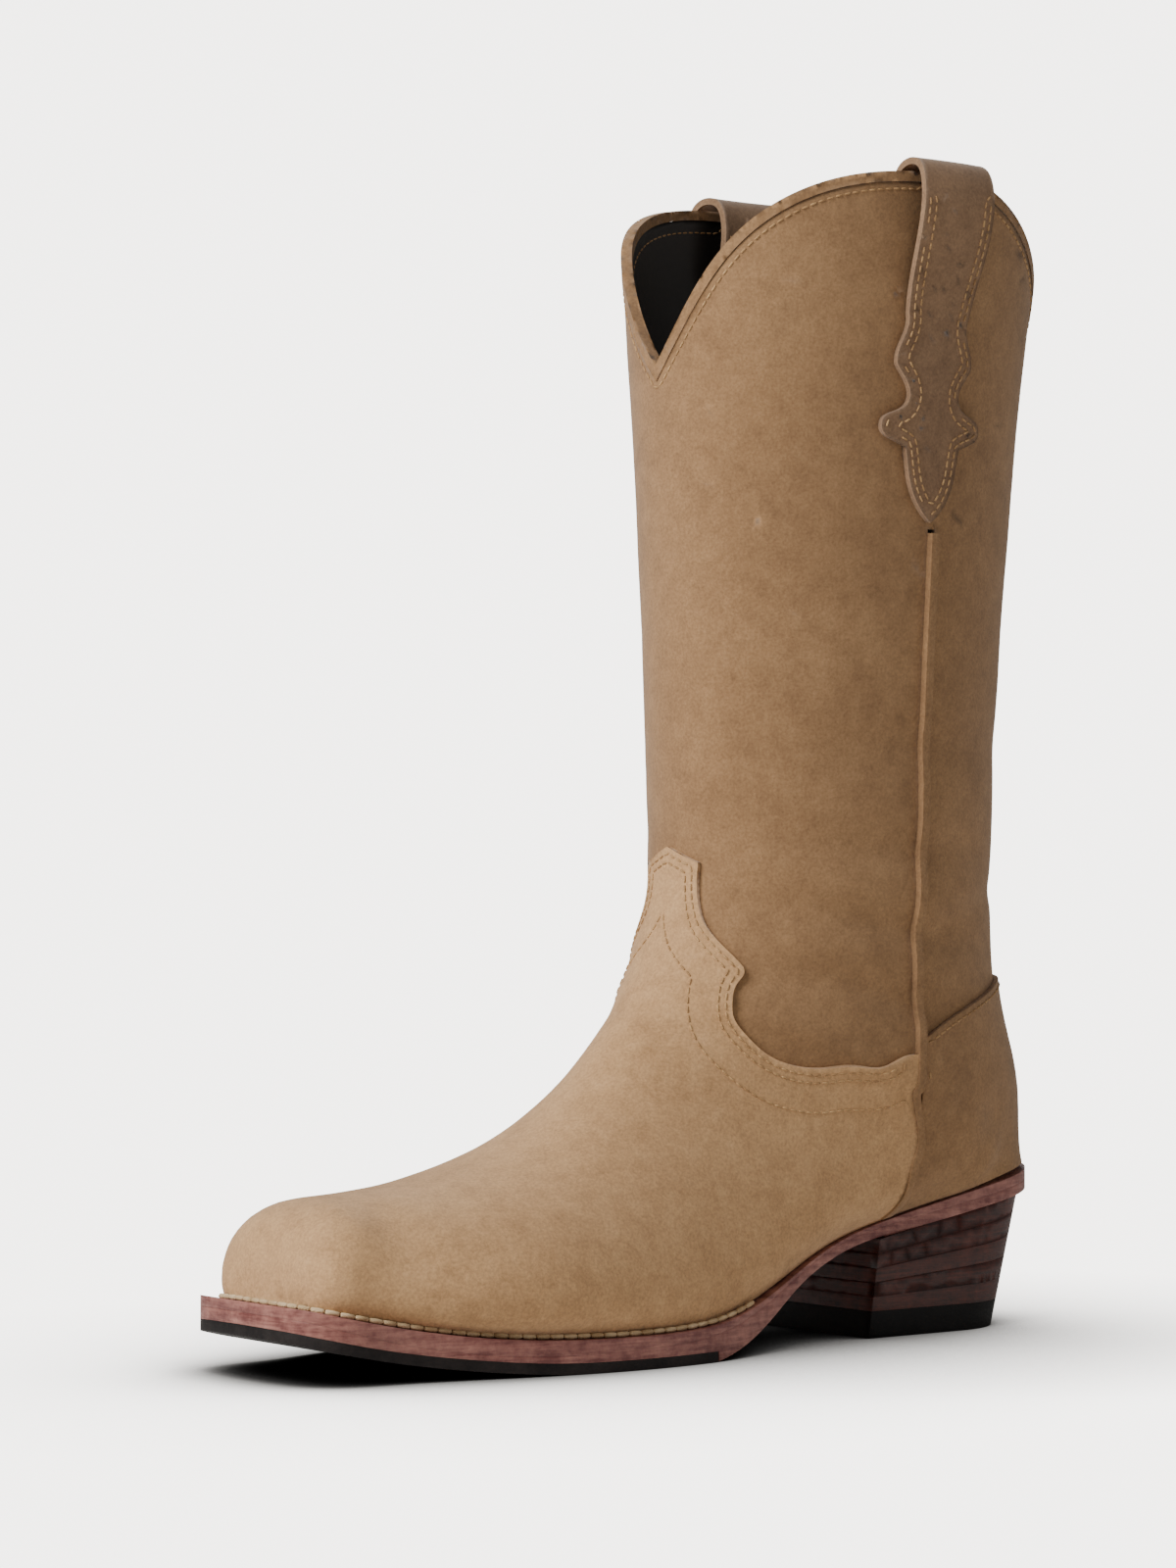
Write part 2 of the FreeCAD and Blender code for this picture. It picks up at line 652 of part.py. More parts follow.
# ---------------------------------------------------------------- pull straps
# The strap's inner face: distance outside the skin and height, from the point below over the
# collar and down to the end inside.  Then its half width at each height of the outer leg.
STRAP_PATH = ((0.12, 248), (0.12, 262), (0.12, 276), (0.12, 290), (0.12, 304), (0.3, 316), (1.6, 327),
              (4.2, 338), (5.9, 348), (5.6, 357), (2.6, 363.3), (-1.4, 364.4), (-5.4, 363.3), (-8.6, 357),
              (-8.9, 348), (-7.0, 338), (-4.4, 328), (-3.1, 318), (-2.95, 306), (-2.95, 292))
STRAP_CREST = 11
STRAP_POINT = ((254, 0.0), (260, 5.8), (266, 8.7), (272, 10.0), (277, 11.0))
STRAP_LOBE = ((277, 11.0), (279, 16.0), (282, 19.8), (285, 19.5), (287.5, 15.5), (290, 11.0))
STRAP_NECK = ((290, 11.0), (294, 10.0), (298, 12.0), (302, 15.0))
STRAP_SHOULDER = ((302, 15.0), (306, 14.8), (312, 12.4), (318, 12.2))
STRAP_X = ((248, 72.3), (310, 72.3), (366, 77.0))
STRAP_REACH = 21.0


def strap_middle(height):
    (_, foot_x), (bend, _), (top, top_x) = STRAP_X
    return foot_x + (top_x - foot_x) * max(0.0, height - bend) / (top - bend)


def strap_skin(side):
    """The strap's inner face on one side: rows along the strap, columns across it."""
    columns = [step / 3 for step in range(-3, 4)]
    rows = []
    for outside, height in STRAP_PATH:
        station = STATIONS[1] * (SHAFT_SECTIONS[0][1] - height) / (SHAFT_SECTIONS[0][1] - SHAFT_SECTIONS[1][1])
        if height < SHAFT_SECTIONS[1][1]:
            station = place(shaft_station(height), 0)[0]
        row = []
        for column in columns:
            x = strap_middle(height) + STRAP_REACH * column
            girth = crossing(lambda g: skin.surface.value(station, side * g).x - x, 0.2, 0.9)
            row.append(skin.point((station, side * girth), outside))
        rows.append(row)
    places = cumulative([(b[3] - a[3]).Length for a, b in zip(rows, rows[1:])])
    return Skin(rows, places, columns, Vector(75, side * 51, 345))


def pull_strap(name, side):
    strap = strap_skin(side)
    heights = [height for _, height in STRAP_PATH[:STRAP_CREST]]
    along = through(list(zip(heights, strap.row_places)))
    half = []
    for stretch_points in (STRAP_POINT, STRAP_LOBE, STRAP_NECK, STRAP_SHOULDER):
        half.append([(along(height), -wide / STRAP_REACH) for height, wide in stretch_points])
    loop = -0.5 * size("strap_width") / STRAP_REACH
    shoulder = half[-1][-1]
    end = (strap.row_places[-1], loop)
    half.append([shoulder, (along(330), 0.97 * loop), (along(345), loop)])
    half.append([half[-1][-1], end])
    half.append([end, (end[0], 0.0)])
    patch(name, strap, both_sides(half), 0.0, size("strap_leather"))


pull_strap("pull_strap_outer", -1)
pull_strap("pull_strap_inner", 1)

# ---------------------------------------------------------------- shaping the sole's layers
# How far the sole's edge stands out from the feather line, along X.
SOLE_EDGE = ((-148, 9.4), (-124, 8.0), (-49, 6.6), (-9, 6.0), (21, 4.2), (51, 3.0), (145, 2.6))
sole_edge = through(SOLE_EDGE)
HEEL_SEAT = 61.0
BREAST = 71.0
GAP = size("glue_line")


def bind(piece, field, formula):
    piece.setExpression(field, formula)
    return piece


def feather_outline():
    """The feather line as a closed curve seen from above, from the heel round the outer side."""
    rows = SECTIONS[HEEL_CORNER:]
    points = [row[0] for row in rows] + [row[-1] for row in reversed(rows)][:-1]
    curve = Part.BSplineCurve()
    curve.interpolate(Points=[Vector(p.x, p.y, 0) for p in points], PeriodicFlag=True)
    return curve


feather_curve = feather_outline()
feather_spots = feather_curve.toShape().discretize(181)[:-1]


def plan_points(grow, spacing=7.0):
    """Points of the feather line seen from above, moved out by an amount that may vary along X."""
    moved = []
    for spot in feather_spots:
        along = feather_curve.tangent(feather_curve.parameter(spot))[0]
        amount = grow(spot.x) if callable(grow) else grow
        point = spot + Vector(-along.y, along.x, 0) * amount
        swallowed = any((point - other).Length < -amount - 0.1 for other in feather_spots)
        crowded = moved and (point - moved[-1]).Length < spacing
        if not swallowed and not crowded:
            moved.append(point)
    if (moved[-1] - moved[0]).Length < 0.5 * spacing:
        moved.pop()
    return moved


def plan_wire(grow):
    curve = Part.BSplineCurve()
    curve.interpolate(Points=plan_points(grow), PeriodicFlag=True)
    start, end = curve.FirstParameter, curve.LastParameter
    joints = [start + (end - start) * step / 6 for step in range(7)]
    return Part.Wire([curve.toShape(a, b) for a, b in zip(joints, joints[1:])])


def prism(name, face, direction, length):
    """A flat face drawn out along a direction by a length of the dimension sheet."""
    drawn = doc.addObject("Part::Extrusion", name)
    drawn.Base = feature(name + "_face", face)
    drawn.DirMode = "Custom"
    drawn.Dir = direction
    drawn.Solid = True
    bind(drawn, "LengthFwd", f"dimensions.{length}")
    return drawn


def plan_prism(name, grow, hole=None):
    wires = [plan_wire(grow)]
    if hole is not None:
        wires.append(plan_wire(hole))
    return prism(name + "_plan", Part.Face(wires, "Part::FaceMakerBullseye"), Vector(0, 0, 1), "sole_depth")


def side_place(height, x):
    return Vector(x, -0.5 * size("sole_span"), height(x))


def side_curve(height, start, end):
    """The edge that follows a height over X, seen from the side."""
    count = max(1, math.ceil(abs(end - start) / 8))
    points = [side_place(height, start + (end - start) * step / count) for step in range(count + 1)]
    if count == 1:
        return Part.makeLine(*points)
    curve = Part.BSplineCurve()
    curve.interpolate(points)
    return curve.toShape()


def side_prism(name, top, bottoms):
    """The strip between a height and one or more lower ones, each over its own stretch of X."""
    start, end = bottoms[0][1], bottoms[-1][2]
    edges = [side_curve(top, end, start)]
    corner = side_place(top, start)
    for height, left, right in bottoms:
        foot = side_place(height, left)
        if (foot - corner).Length > 1e-6:
            edges.append(Part.makeLine(corner, foot))
        edges.append(side_curve(height, left, right))
        corner = side_place(height, right)
    edges.append(Part.makeLine(corner, side_place(top, end)))
    face = Part.Face(Part.Wire(edges))
    return prism(name + "_side", face, Vector(0, 1, 0), "sole_span")


def common(name, first, second):
    meeting = doc.addObject("Part::Common", name)
    meeting.Base = first
    meeting.Tool = second
    return meeting


def layer(name, grow, top, bottoms, hole=None):
    """A layer of the sole: its outline from above within its strip from the side."""
    return common(name, plan_prism(name, grow, hole), side_prism(name, top, bottoms))


def drilled(name, piece, holes):
    cut = doc.addObject("Part::Cut", name)
    cut.Base = piece
    cut.Tool = holes
    return cut


def pins(name, places, radius, clearance=0.0):
    """Upright round pins as one object; each place is x, y, foot and head height."""
    group = doc.addObject("Part::Compound", name)
    links = []
    for number, (x, y, foot, head) in enumerate(places):
        pin = doc.addObject("Part::Cylinder", f"{name}_{number}")
        bind(pin, "Radius", f"dimensions.{radius} + {clearance}")
        pin.Height = head - foot + 2 * clearance
        pin.Placement = Placement(Vector(x, y, foot - clearance), Rotation(0, 0, 0))
        links.append(pin)
    group.Links = links
    return group


def outsole_top(x):
    return feather_height(x) - size("welt_thickness") * skive(x)


def outsole_bottom(x):
    """Underside of the outsole above the heel."""
    return outsole_top(x) - size("tread_thickness")


# ---------------------------------------------------------------- nails and pegs
heel_middle = 0.5 * (size("cap_front") + size("cap_back")) + 6.0
NAIL_RING = 19.0
heel_nail_places = []
cap_nail_places = []
for turn in (-130, -80, -28, 28, 80, 130):
    x = heel_middle + NAIL_RING * math.cos(math.radians(turn))
    y = NAIL_RING * math.sin(math.radians(turn))
    heel_nail_places.append((x, y, 14.0, feather_height(x) + 2.5))
for turn in (-150, -100, -50, 0, 50, 100, 150):
    x = heel_middle + 22.5 * math.cos(math.radians(turn))
    y = 22.5 * math.sin(math.radians(turn))
    cap_nail_places.append((x, y, 0.3, 13.0))
peg_places = []
for step in range(8):
    x = 14.0 + 6.5 * step
    half_width = 0.5 * sum((abs(skin.surface.value(STATIONS[17], s).y) for s in (-1, 1)))
    for side in (-1, 1):
        y = side * min(16.0, half_width - 7.0)
        peg_places.append((x, y, waist_underside(x) + 0.3, feather_height(x) + 2.0))

heel_nails = keep("heel_nails", pins("heel_nails", heel_nail_places, "nail_radius"))
heel_cap_nails = keep("heel_cap_nails", pins("heel_cap_nails", cap_nail_places, "nail_radius"))
waist_pegs = keep("waist_pegs", pins("waist_pegs", peg_places, "peg_radius"))
heel_nail_holes = pins("heel_nail_holes", heel_nail_places, "nail_radius", GAP)
cap_nail_holes = pins("cap_nail_holes", cap_nail_places, "nail_radius", GAP)
peg_holes = pins("peg_holes", peg_places, "peg_radius", GAP)

# ---------------------------------------------------------------- inside the boot, under the foot
insole_grow = lining_inner - 0.4
insole_span = (TOE_TIP + 2.0, 145.0)


def over_insole(rise):
    return lambda x: feather_height(x) + size("insole_thickness") + rise


sock_bottom, sock_top = over_insole(GAP), over_insole(GAP + size("sock_thickness"))
pad_bottom = over_insole(2 * GAP + size("sock_thickness"))
pad_top = over_insole(2 * GAP + size("sock_thickness") + size("heel_pad_thickness"))

insole = layer("insole_blank", insole_grow, over_insole(0.0), [(feather_height, *insole_span)])
insole = drilled("insole_nailed", insole, heel_nail_holes)
keep("insole", drilled("insole", insole, peg_holes))
keep("sock_liner", layer("sock_liner", insole_grow - 0.6, sock_top, [(sock_bottom, *insole_span)]))
keep("heel_pad", layer("heel_pad", insole_grow - 2.5, pad_top, [(pad_bottom, 84.0, 145.0)]))
keep("insole_rib", layer("insole_rib", insole_grow - 1.1, lambda x: feather_height(x) - GAP,
                         [(lambda x: outsole_top(x) + GAP, TOE_TIP + 2.0, 6.0)], insole_grow - 3.7))
keep("cork_filler", layer("cork_filler", insole_grow - 4.0, lambda x: feather_height(x) - GAP,
                          [(lambda x: outsole_top(x) + GAP, TOE_TIP + 8.0, -12.0)]))
heel_filler = layer("heel_filler_blank", insole_grow - 1.1, lambda x: feather_height(x) - GAP,
                    [(lambda x: outsole_top(x) + GAP, HEEL_SEAT + 24.0, 145.0)])
keep("heel_filler", drilled("heel_filler", heel_filler, heel_nail_holes))

shank_plan = doc.addObject("Part::Box", "shank_plan")
bind(shank_plan, "Length", "dimensions.shank_length")
bind(shank_plan, "Width", "dimensions.shank_width")
bind(shank_plan, "Height", "dimensions.sole_depth")
shank_plan.Placement = Placement(Vector(-9, -0.5 * size("shank_width"), 0), Rotation(0, 0, 0))
shank_side = side_prism("steel_shank", lambda x: feather_height(x) - GAP,
                        [(lambda x: feather_height(x) - GAP - size("shank_thickness"), -20.0, 90.0)])
keep("steel_shank", common("steel_shank", shank_plan, shank_side))

# ---------------------------------------------------------------- welt, rand, outsole and tread
keep("welt", layer("welt", sole_edge, feather_height,
                   [(lambda x: outsole_top(x) + GAP, -160.0, HEEL_SEAT)], insole_grow - 0.8))
keep("heel_rand", layer("heel_rand", sole_edge, feather_height,
                        [(lambda x: outsole_top(x) + GAP, HEEL_SEAT + GAP, 150.0)], insole_grow - 0.8))
outsole = layer("outsole_blank", sole_edge, outsole_top,
                [(lambda x: tread_underside(x) + size("tread_thickness") + GAP, -160.0, TREAD_END),
                 (waist_underside, TREAD_END, BREAST), (outsole_bottom, BREAST, 150.0)])
outsole = drilled("outsole_nailed", outsole, heel_nail_holes)
keep("outsole", drilled("outsole", outsole, peg_holes))
keep("forefoot_tread", layer("forefoot_tread", sole_edge, lambda x: tread_underside(x) + size("tread_thickness"),
                             [(tread_underside, -160.0, TREAD_END - 0.4)]))

# ---------------------------------------------------------------- heel
heel = doc.addObject("PartDesign::Body", "heel_block")


def heel_outline(name, height, front, back, radius):
    """A D seen from above: straight breast, straight sides, round back."""
    sketch = heel.newObject("Sketcher::SketchObject", name)
    ground = [plane for plane in heel.Origin.OriginFeatures if plane.Role == "XY_Plane"][0]
    sketch.AttachmentSupport = (ground, "")
    sketch.MapMode = "FlatFace"
    sketch.AttachmentOffset = Placement(Vector(0, 0, height), Rotation(0, 0, 0))
    r, x0 = size(radius), size(front)
    xc = size(back) - r
    sketch.addGeometry([
        Part.LineSegment(Vector(x0, r, 0), Vector(x0, -r, 0)),
        Part.LineSegment(Vector(x0, -r, 0), Vector(xc, -r, 0)),
        Part.ArcOfCircle(Part.Circle(Vector(xc, 0, 0), Vector(0, 0, 1), r), -math.pi / 2, math.pi / 2),
        Part.LineSegment(Vector(xc, r, 0), Vector(x0, r, 0))], False)
    sketch.addConstraint([
        Sketcher.Constraint("Coincident", 0, 2, 1, 1), Sketcher.Constraint("Coincident", 3, 2, 0, 1),
        Sketcher.Constraint("Tangent", 1, 2, 2, 1), Sketcher.Constraint("Tangent", 2, 2, 3, 1),
        Sketcher.Constraint("Vertical", 0), Sketcher.Constraint("Horizontal", 1),
        Sketcher.Constraint("PointOnObject", 2, 3, -1), Sketcher.Constraint("Radius", 2, r),
        Sketcher.Constraint("DistanceX", -1, 1, 0, 1, x0), Sketcher.Constraint("DistanceX", -1, 1, 2, 3, xc)])
    bind(sketch, "Constraints[7]", f"dimensions.{radius}")
    bind(sketch, "Constraints[8]", f"dimensions.{front}")
    bind(sketch, "Constraints[9]", f"dimensions.{back} - dimensions.{radius}")
    return sketch


ground_outline = heel_outline("heel_ground_outline", 0.0, "cap_front", "cap_back", "cap_radius")
seat_outline = heel_outline("heel_seat_outline", 46.0, "breast_top", "heel_back", "heel_radius")
loft = heel.newObject("PartDesign::AdditiveLoft", "heel_loft")
loft.Profile = ground_outline
loft.Sections = [seat_outline]
loft.Ruled = True
loft.Closed = False

LIFTS = 5


def lift_level(number):
    """Height over X of the joint under a lift; the lifts fan out towards the back."""
    share = number / LIFTS
    foot = size("heel_cap_thickness") + GAP
    return lambda x: foot + share * (outsole_bottom(x) - GAP - foot)


def lift_gap(number):
    return GAP if number < LIFTS else 0.0


for number in range(LIFTS):
    name = f"heel_lift_{number + 1}"
    low, high, gap = lift_level(number), lift_level(number + 1), lift_gap(number + 1)
    lift = common(name + "_blank", heel, side_prism(name, lambda x: high(x) - gap, [(low, BREAST - 8.0, 150.0)]))
    if number == 0:
        lift = drilled(name, lift, cap_nail_holes)
    if number > 0:
        lift = drilled(name, lift, heel_nail_holes)
    keep(name, lift)
cap = common("heel_cap_blank", heel, side_prism("heel_cap", lambda x: size("heel_cap_thickness"),
                                                [(lambda x: 0.0, BREAST - 8.0, 150.0)]))
keep("heel_cap", drilled("heel_cap", cap, cap_nail_holes))

# ---------------------------------------------------------------- stitching on the welt
STITCH_OUT = 3.4
STITCHED = 12.0
seam_points = [Vector(p.x, p.y, feather_height(p.x) + size("thread_radius") + GAP)
               for p in plan_points(STITCH_OUT) if p.x < STITCHED]
seam_path = Part.BSplineCurve()
seam_path.interpolate(seam_points)
thread_path = feature("welt_stitching_path", seam_path.toShape())
thread_end = doc.addObject("Part::Circle", "welt_stitching_end")
bind(thread_end, "Radius", "dimensions.thread_radius")
start_along = seam_path.tangent(seam_path.FirstParameter)[0]
thread_end.Placement = Placement(seam_points[0], Rotation(Vector(0, 0, 1), start_along))
thread = doc.addObject("Part::Sweep", "welt_stitching")
thread.Sections = [thread_end]
thread.Spine = (thread_path, ["Edge1"])
thread.Solid = True
thread.Frenet = False
keep("welt_stitching", thread)

# ---------------------------------------------------------------- write the pieces
doc.recompute()
for thing in doc.Objects:
    if "Invalid" in thing.State or "Error" in thing.State:
        raise RuntimeError(f"{thing.Label} did not build: {thing.State}")
for name, piece in PARTS.items():
    if piece.Shape.isNull() or not piece.Shape.isValid():
        raise RuntimeError(f"{name} has no sound shape")
os.makedirs("parts", exist_ok=True)
for name, piece in PARTS.items():
    piece.Shape.exportStep(os.path.join("parts", f"{name}.step"))
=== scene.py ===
"""Western boot: visible leather, thread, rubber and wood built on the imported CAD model."""
import json
import math

import bmesh
import bpy
import numpy as np
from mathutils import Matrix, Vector, noise
from mathutils.kdtree import KDTree


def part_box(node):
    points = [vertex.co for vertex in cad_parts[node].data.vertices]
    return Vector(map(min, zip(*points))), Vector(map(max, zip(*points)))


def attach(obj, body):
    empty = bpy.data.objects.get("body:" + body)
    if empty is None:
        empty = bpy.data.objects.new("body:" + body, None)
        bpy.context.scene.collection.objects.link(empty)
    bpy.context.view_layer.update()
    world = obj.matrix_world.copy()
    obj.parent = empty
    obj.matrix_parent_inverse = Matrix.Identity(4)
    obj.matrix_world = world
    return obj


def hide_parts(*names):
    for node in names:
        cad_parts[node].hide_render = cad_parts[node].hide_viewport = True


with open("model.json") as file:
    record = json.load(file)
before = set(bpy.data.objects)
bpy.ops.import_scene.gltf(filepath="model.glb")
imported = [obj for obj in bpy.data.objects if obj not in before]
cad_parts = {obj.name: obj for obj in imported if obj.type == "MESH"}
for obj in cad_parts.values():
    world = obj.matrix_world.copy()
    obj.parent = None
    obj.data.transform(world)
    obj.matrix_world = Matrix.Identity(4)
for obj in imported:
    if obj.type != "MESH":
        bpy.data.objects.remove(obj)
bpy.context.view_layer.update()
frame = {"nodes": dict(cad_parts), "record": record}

# ---------------------------------------------------------------- camera
CAMERA_PLACE = Vector((-0.803, -1.018, 0.1468))
CAMERA_AIM = Vector((0.6077, 0.7939, 0.0200))
CAMERA_LENS = 96.5
camera = bpy.data.objects.new("camera", bpy.data.cameras.new("camera"))
camera.data.lens = CAMERA_LENS
camera.data.sensor_width = 36.0
camera.data.clip_start = 0.05
camera.location = CAMERA_PLACE
camera.rotation_euler = CAMERA_AIM.to_track_quat("-Z", "Y").to_euler()
bpy.context.scene.collection.objects.link(camera)
bpy.context.scene.camera = camera


def linear(red, green, blue, alpha=1.0):
    """A colour given in 0 to 255 screen values, as the shader's linear values."""
    def channel(value):
        value /= 255
        return value / 12.92 if value <= 0.04045 else ((value + 0.055) / 1.055) ** 2.4
    return channel(red), channel(green), channel(blue), alpha


# ---------------------------------------------------------------- materials
class Shader:
    """A node material in the making: a Principled shader and the nodes that feed it."""

    def __init__(self, name):
        self.material = bpy.data.materials.new(name)
        self.material.use_nodes = True
        self.tree = self.material.node_tree
        self.shader = self.tree.nodes["Principled BSDF"]
        self.place = self.node("ShaderNodeTexCoord").outputs["Object"]

    def node(self, kind, **fields):
        made = self.tree.nodes.new(kind)
        for field, value in fields.items():
            setattr(made, field, value)
        return made

    def link(self, source, target):
        self.tree.links.new(source, target)
        return target

    def stretched(self, scale):
        """Object coordinates scaled along each axis."""
        mapping = self.node("ShaderNodeMapping")
        mapping.inputs["Scale"].default_value = scale
        self.link(self.place, mapping.inputs["Vector"])
        return mapping.outputs["Vector"]

    def noise(self, scale, detail=4.0, rough=0.55, distortion=0.0, at=None):
        made = self.node("ShaderNodeTexNoise")
        made.inputs["Scale"].default_value = scale
        made.inputs["Detail"].default_value = detail
        made.inputs["Roughness"].default_value = rough
        made.inputs["Distortion"].default_value = distortion
        self.link(at or self.place, made.inputs["Vector"])
        return made.outputs["Fac"]

    def ramp(self, source, *stops):
        made = self.node("ShaderNodeValToRGB")
        elements = made.color_ramp.elements
        while len(elements) < len(stops):
            elements.new(0.5)
        for element, (position, colour) in zip(elements, stops):
            element.position = position
            element.color = colour
        self.link(source, made.inputs["Fac"])
        return made.outputs["Color"]

    def mix(self, kind, share, first, second):
        """Two colours mixed, each a plain value or another node's output."""
        made = self.node("ShaderNodeMix", data_type="RGBA", blend_type=kind)
        for value, number in ((share, 0), (first, 6), (second, 7)):
            if isinstance(value, (int, float, tuple)):
                made.inputs[number].default_value = value
            else:
                self.link(value, made.inputs[number])
        return made.outputs[2]

    def blend(self, first, second, share):
        """A value between two others, nearer the second the larger its share."""
        made = self.node("ShaderNodeMix", data_type="FLOAT")
        made.inputs[0].default_value = share
        self.link(first, made.inputs[2])
        self.link(second, made.inputs[3])
        return made.outputs[0]

    def finish(self, colour, height, bump=0.4, distance=0.0004, roughness=0.6):
        """Feed the shader its colour, its relief and its roughness."""
        self.link(colour, self.shader.inputs["Base Color"])
        node = self.node("ShaderNodeBump")
        node.inputs["Strength"].default_value = bump
        node.inputs["Distance"].default_value = distance
        self.link(height, node.inputs["Height"])
        self.link(node.outputs["Normal"], self.shader.inputs["Normal"])
        if isinstance(roughness, float):
            self.shader.inputs["Roughness"].default_value = roughness
        else:
            self.link(roughness, self.shader.inputs["Roughness"])
        return self.material


def suede(name, light, middle, dark, nap=0.6):
    """Roughout leather: mottled nap in three scales, no gloss, a soft sheen."""
    s = Shader(name)
    cloud = s.noise(16.0, 5.0, 0.60, 0.5)
    patch = s.noise(150.0, 5.0, 0.70, 0.3)
    fibre = s.noise(1100.0, 3.0, 0.65)
    base = s.ramp(cloud, (0.22, dark), (0.50, middle), (0.78, light))
    brushed = s.ramp(patch, (0.24, dark), (0.50, middle), (0.76, light))
    colour = s.mix("MIX", 0.50, base, brushed)
    speckle = s.ramp(fibre, (0.30, (0.34, 0.34, 0.34, 1.0)), (0.70, (0.66, 0.66, 0.66, 1.0)))
    colour = s.mix("OVERLAY", nap, colour, speckle)
    height = s.blend(s.blend(fibre, patch, 0.4), s.noise(1500.0, 2.0, 0.7), 0.3)
    s.shader.inputs["Sheen Weight"].default_value = 0.18
    s.shader.inputs["Sheen Roughness"].default_value = 0.5
    s.shader.inputs["Specular IOR Level"].default_value = 0.15
    return s.finish(colour, height, 0.55, 0.00035, 0.95)


def smooth_leather(name, base, worn, roughness=0.5, grain=420.0):
    """Smooth leather: fine pebbled grain with creases, and lighter where it is worn."""
    s = Shader(name)
    cells = s.node("ShaderNodeTexVoronoi")
    cells.inputs["Scale"].default_value = grain
    s.link(s.place, cells.inputs["Vector"])
    cloud = s.noise(35.0, 5.0, 0.6, 0.4)
    colour = s.ramp(cloud, (0.35, base), (0.75, worn))
    height = s.blend(cells.outputs["Distance"], s.noise(140.0, 4.0), 0.4)
    gloss = s.node("ShaderNodeMapRange")
    gloss.inputs["To Min"].default_value = roughness - 0.12
    gloss.inputs["To Max"].default_value = roughness + 0.15
    s.link(cloud, gloss.inputs["Value"])
    return s.finish(colour, height, 0.25, 0.0003, gloss.outputs["Result"])


def cut_edge(name, base, worn, layers, roughness=0.45):
    """The dyed cut edge of leather: fine layers along the sole, scuffed lighter in places."""
    s = Shader(name)
    fibre = s.noise(45.0, 6.0, 0.72, 0.2, s.stretched((1.0, 1.0, layers)))
    cloud = s.noise(38.0, 5.0, 0.65, 0.4)
    scuff = s.noise(260.0, 4.0, 0.7)
    colour = s.ramp(s.blend(s.blend(fibre, cloud, 0.35), scuff, 0.3), (0.42, base), (0.64, worn))
    return s.finish(colour, s.blend(fibre, scuff, 0.35), 0.45, 0.0003, roughness)


def rubber(name, base, worn):
    """Dull rubber with fine dust."""
    s = Shader(name)
    cloud = s.noise(45.0, 5.0, 0.65, 0.3)
    fine = s.noise(700.0, 3.0, 0.6)
    colour = s.ramp(s.blend(cloud, fine, 0.25), (0.42, base), (0.68, worn))
    s.shader.inputs["Specular IOR Level"].default_value = 0.2
    return s.finish(colour, fine, 0.3, 0.00025, 0.6)


def thread(name, base, shade):
    """Waxed thread with the ridges of its twist."""
    s = Shader(name)
    twist = s.node("ShaderNodeTexWave", wave_type="BANDS", bands_direction="DIAGONAL")
    twist.inputs["Scale"].default_value = 900.0
    twist.inputs["Distortion"].default_value = 1.5
    s.link(s.place, twist.inputs["Vector"])
    colour = s.ramp(s.noise(160.0, 3.0), (0.35, shade), (0.65, base))
    return s.finish(colour, twist.outputs["Fac"], 0.5, 0.0002, 0.75)


def metal(name, base, roughness):
    """Plain steel, darker along its drawing marks."""
    s = Shader(name)
    scratches = s.noise(300.0, 5.0, 0.7, 0.0, s.stretched((1.0, 1.0, 12.0)))
    worn = tuple(0.7 * channel for channel in base[:3]) + (1.0,)
    s.shader.inputs["Metallic"].default_value = 1.0
    return s.finish(s.ramp(scratches, (0.3, base), (0.8, worn)), scratches, 0.15, 0.0001, roughness)


MATERIALS = {
    "shaft_suede": suede("shaft_suede", linear(170, 134, 96), linear(148, 114, 80), linear(118, 89, 62)),
    # The vamp's suede is the shaft's suede made lighter: a painted highlight for the light falling on the
    # foot from above.
    "vamp_suede": suede("vamp_suede", linear(208, 167, 122), linear(188, 148, 105), linear(150, 114, 78)),
    "strap_suede": suede("strap_suede", linear(158, 126, 96), linear(136, 107, 81), linear(108, 83, 62)),
    "lining_leather": smooth_leather("lining_leather", linear(24, 22, 21), linear(38, 35, 33), 0.5),
    "sock_leather": smooth_leather("sock_leather", linear(30, 26, 23), linear(46, 40, 36), 0.5),
    "fabric_backer": suede("fabric_backer", linear(190, 180, 158), linear(178, 168, 146),
                           linear(160, 150, 130)),
    "stiffener": suede("stiffener", linear(196, 174, 142), linear(184, 160, 128), linear(168, 144, 112)),
    "insole_leather": smooth_leather("insole_leather", linear(196, 164, 122), linear(210, 182, 142), 0.6),
    "foam": suede("foam", linear(120, 112, 102), linear(108, 100, 92), linear(96, 88, 80)),
    "cork": suede("cork", linear(190, 146, 100), linear(160, 118, 76), linear(112, 78, 48), 0.8),
    "welt_leather": cut_edge("welt_leather", linear(104, 52, 47), linear(180, 124, 110), 14.0),
    "stacked_leather": cut_edge("stacked_leather", linear(36, 10, 6), linear(92, 40, 26), 26.0, 0.5),
    "tread_rubber": rubber("tread_rubber", linear(20, 16, 16), linear(44, 38, 36)),
    "cap_rubber": rubber("cap_rubber", linear(5, 4, 4), linear(16, 14, 13)),
    "thread": thread("thread", linear(226, 200, 158), linear(190, 160, 116)),
    "thread_tan": thread("thread_tan", linear(196, 158, 110), linear(160, 122, 80)),
    "steel": metal("steel", (0.55, 0.56, 0.58, 1.0), 0.35),
    "nail_steel": metal("nail_steel", (0.52, 0.50, 0.46, 1.0), 0.4),
    "peg_wood": cut_edge("peg_wood", linear(196, 166, 118), linear(214, 188, 140), 8.0, 0.6),
}
node_slot = {part["node"]: part["material_slot"] for part in frame["record"]["subparts"]}


for name, node in frame["nodes"].items():
    for material_slot in node.material_slots:
        material_slot.link = "OBJECT"
        material_slot.material = MATERIALS[node_slot[name]]

